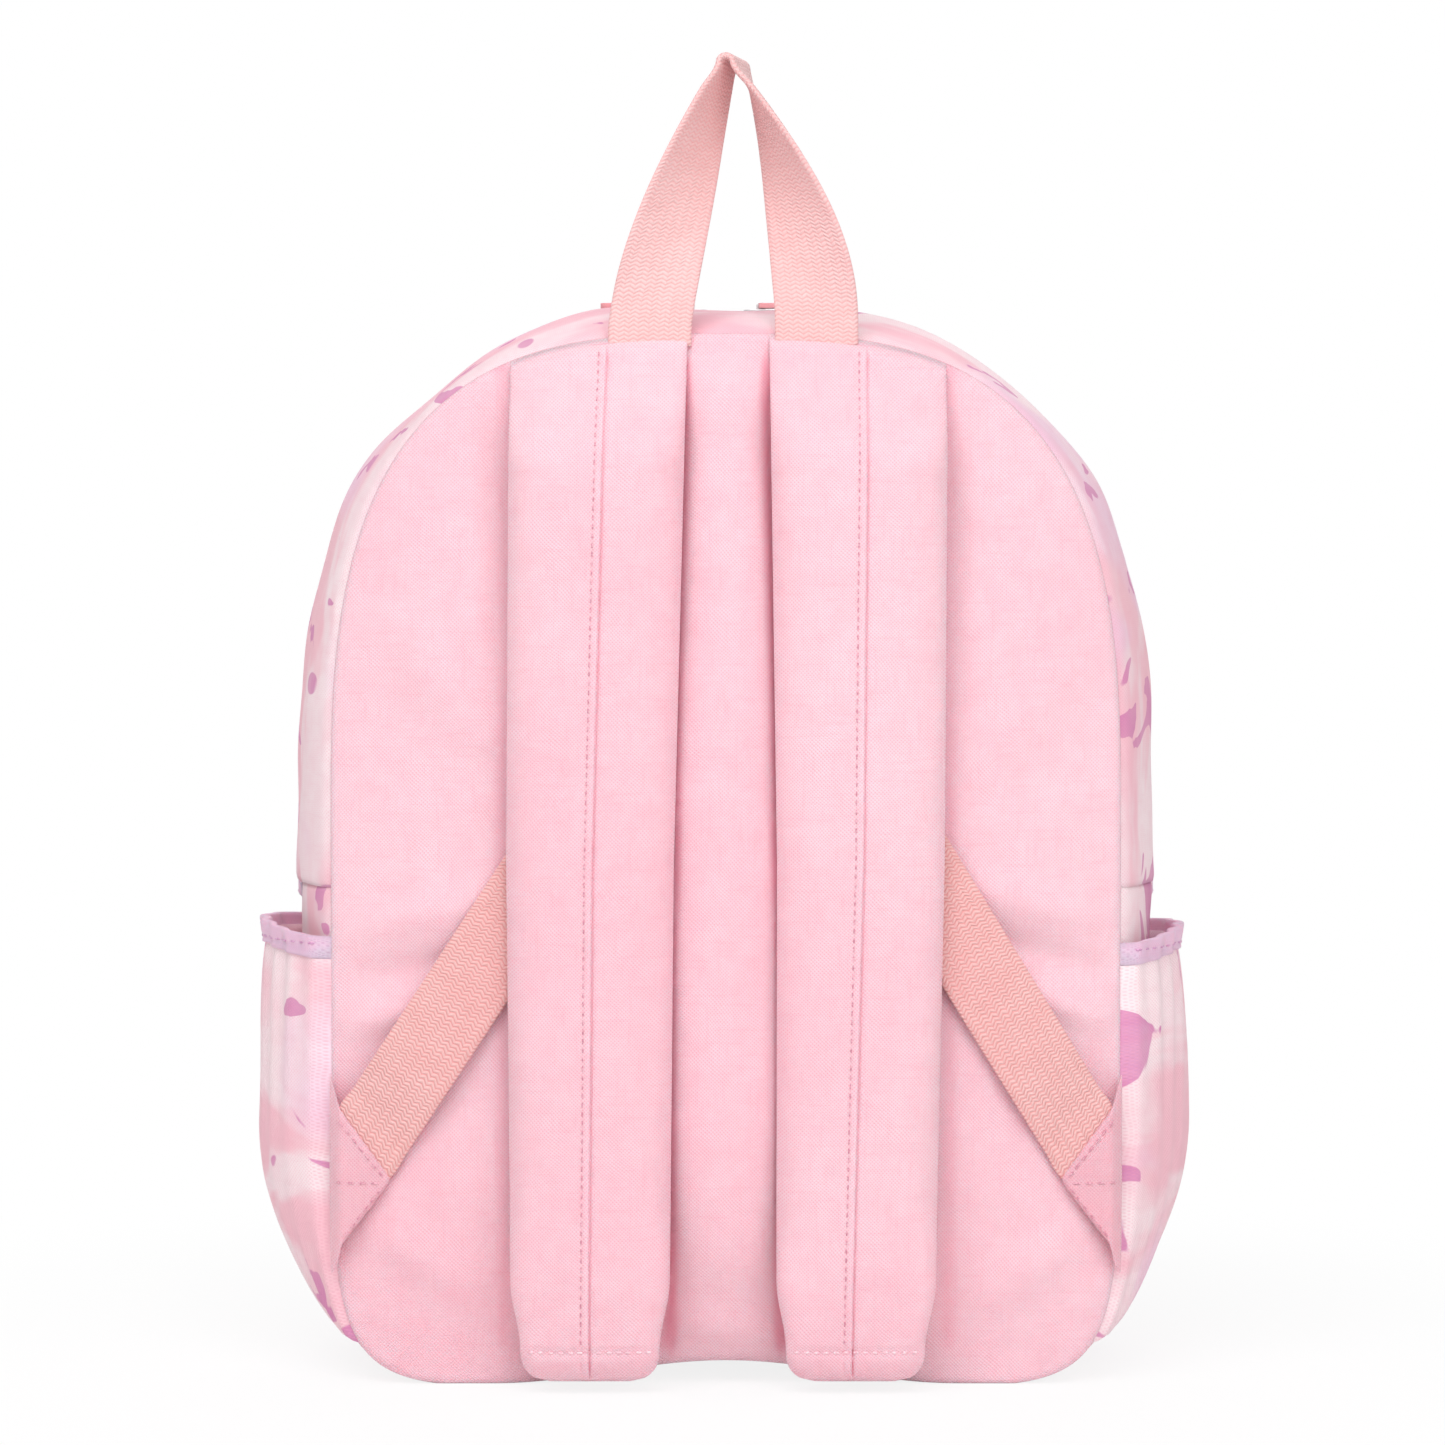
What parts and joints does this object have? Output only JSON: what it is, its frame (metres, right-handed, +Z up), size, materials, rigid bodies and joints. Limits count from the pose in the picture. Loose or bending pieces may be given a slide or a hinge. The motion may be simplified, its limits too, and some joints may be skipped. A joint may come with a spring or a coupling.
{
  "type": "school backpack",
  "caption": "Child's school backpack with padded shoulder straps, a grab handle, a fold-down zipped front, a zipped front pocket and open side pockets.",
  "frame": {"origin": "on the ground, under the middle of the bag's overall box", "axes": "+Z up, -Y towards the wearer's back (the strap side), +X to the right as seen from the strap side"},
  "size_m": [0.2896, 0.1638, 0.3993],
  "materials": {
    "pink_cloth": "plain-weave polyester, matt",
    "printed_cloth": "printed plain-weave polyester, matt",
    "lilac_tape": "woven binding tape and lining, matt",
    "salmon_webbing": "coarse woven webbing",
    "white_foam": "open foam, inside",
    "zip_tape": "woven zip tape",
    "pink_plastic": "moulded plastic, satin",
    "nickel_metal": "nickel-plated die casting"
  },
  "bodies": {
    "bag": {"back_panel_cover": "pink_cloth", "back_panel_foam": "white_foam", "back_panel_lining": "lilac_tape", "lower_gusset": "printed_cloth", "rear_zip_gusset": "printed_cloth", "main_zip_rear_tape": "zip_tape", "front_panel_lower": "printed_cloth", "front_pocket_wall": "printed_cloth", "front_pocket_face": "printed_cloth", "front_pocket_lower_tape": "zip_tape", "front_pocket_upper_tape": "zip_tape", "front_pocket_header": "printed_cloth", "side_pocket_left": "printed_cloth", "side_pocket_right": "printed_cloth", "side_pocket_binding_left": "lilac_tape", "side_pocket_binding_right": "lilac_tape", "zip_end_tab_left": "lilac_tape", "zip_end_tab_right": "lilac_tape", "webbing_tab_left": "pink_cloth", "webbing_tab_right": "pink_cloth", "lower_webbing_left": "salmon_webbing", "lower_webbing_right": "salmon_webbing"},
    "front_flap": {"front_panel_upper": "printed_cloth", "front_zip_gusset": "printed_cloth", "main_zip_front_tape": "zip_tape"},
    "strap_left": {"strap_cover_left": "pink_cloth", "strap_foam_left": "white_foam", "strap_loop_left": "salmon_webbing"},
    "strap_right": {"strap_cover_right": "pink_cloth", "strap_foam_right": "white_foam", "strap_loop_right": "salmon_webbing"},
    "lock_left": {"ladder_lock_left": "pink_plastic"},
    "lock_right": {"ladder_lock_right": "pink_plastic"},
    "handle": {"grab_handle": "salmon_webbing"},
    "slider_left": {"main_slider_left": "nickel_metal"},
    "slider_right": {"main_slider_right": "nickel_metal"},
    "pocket_slider": {"pocket_slider": "nickel_metal"},
    "pull_left": {"main_pull_left": "pink_plastic"},
    "pull_right": {"main_pull_right": "pink_plastic"},
    "pocket_pull": {"pocket_pull": "pink_plastic"}
  },
  "joints": [
    {"name": "front_flap_fold", "type": "hinge", "parent": "bag", "child": "front_flap", "pos_m": [0, 0.0542, 0.15], "axis": [-1, 0, 0], "range_deg": [0, 90]},
    {"name": "handle_fold", "type": "hinge", "parent": "bag", "child": "handle", "pos_m": [0, -0.0584, 0.3172], "axis": [1, 0, 0], "range_deg": [-45, 90], "stiffness_Nm_per_rad": 0.03},
    {"name": "strap_left_swing", "type": "hinge", "parent": "bag", "child": "strap_left", "pos_m": [-0.039, -0.0603, 0.3125], "axis": [-1, 0, 0], "range_deg": [0, 40], "deforming": ["lower_webbing_left"]},
    {"name": "lock_left_tilt", "type": "hinge", "parent": "strap_left", "child": "lock_left", "pos_m": [-0.0415, -0.0678, 0.0165], "axis": [-1, 0, 0], "range_deg": [0, 20], "deforming": ["lower_webbing_left"]},
    {"name": "main_slider_left_run", "type": "hinge", "parent": "bag", "child": "slider_left", "pos_m": [0, 0.0065, -0.019], "axis": [0, -1, 0], "range_deg": [0, 6.9]},
    {"name": "main_pull_left_lift", "type": "hinge", "parent": "slider_left", "child": "pull_left", "pos_m": [-0.01108, 0.0065, 0.32804], "axis": [0, 1, 0], "range_deg": [0, 100]},
    {"name": "strap_right_swing", "type": "hinge", "parent": "bag", "child": "strap_right", "pos_m": [0.039, -0.0603, 0.3125], "axis": [-1, 0, 0], "range_deg": [0, 40], "deforming": ["lower_webbing_right"]},
    {"name": "lock_right_tilt", "type": "hinge", "parent": "strap_right", "child": "lock_right", "pos_m": [0.0415, -0.0678, 0.0165], "axis": [-1, 0, 0], "range_deg": [0, 20], "deforming": ["lower_webbing_right"]},
    {"name": "main_slider_right_run", "type": "hinge", "parent": "bag", "child": "slider_right", "pos_m": [0, 0.0065, -0.019], "axis": [0, 1, 0], "range_deg": [0, 6.9]},
    {"name": "main_pull_right_lift", "type": "hinge", "parent": "slider_right", "child": "pull_right", "pos_m": [0.01108, 0.0065, 0.32804], "axis": [0, -1, 0], "range_deg": [0, 100]},
    {"name": "pocket_slider_run", "type": "slide", "parent": "bag", "child": "pocket_slider", "axis": [-1, 0, 0], "range_m": [0, 0.14]},
    {"name": "pocket_pull_swing", "type": "hinge", "parent": "pocket_slider", "child": "pocket_pull", "pos_m": [0.07, 0.08125, 0.118], "axis": [1, 0, 0], "range_deg": [0, 90]}
  ],
  "couplings": [
    {"joint": "lock_left_tilt", "follows": "strap_left_swing", "ratio": 0.5},
    {"joint": "lock_right_tilt", "follows": "strap_right_swing", "ratio": 0.5}
  ]
}
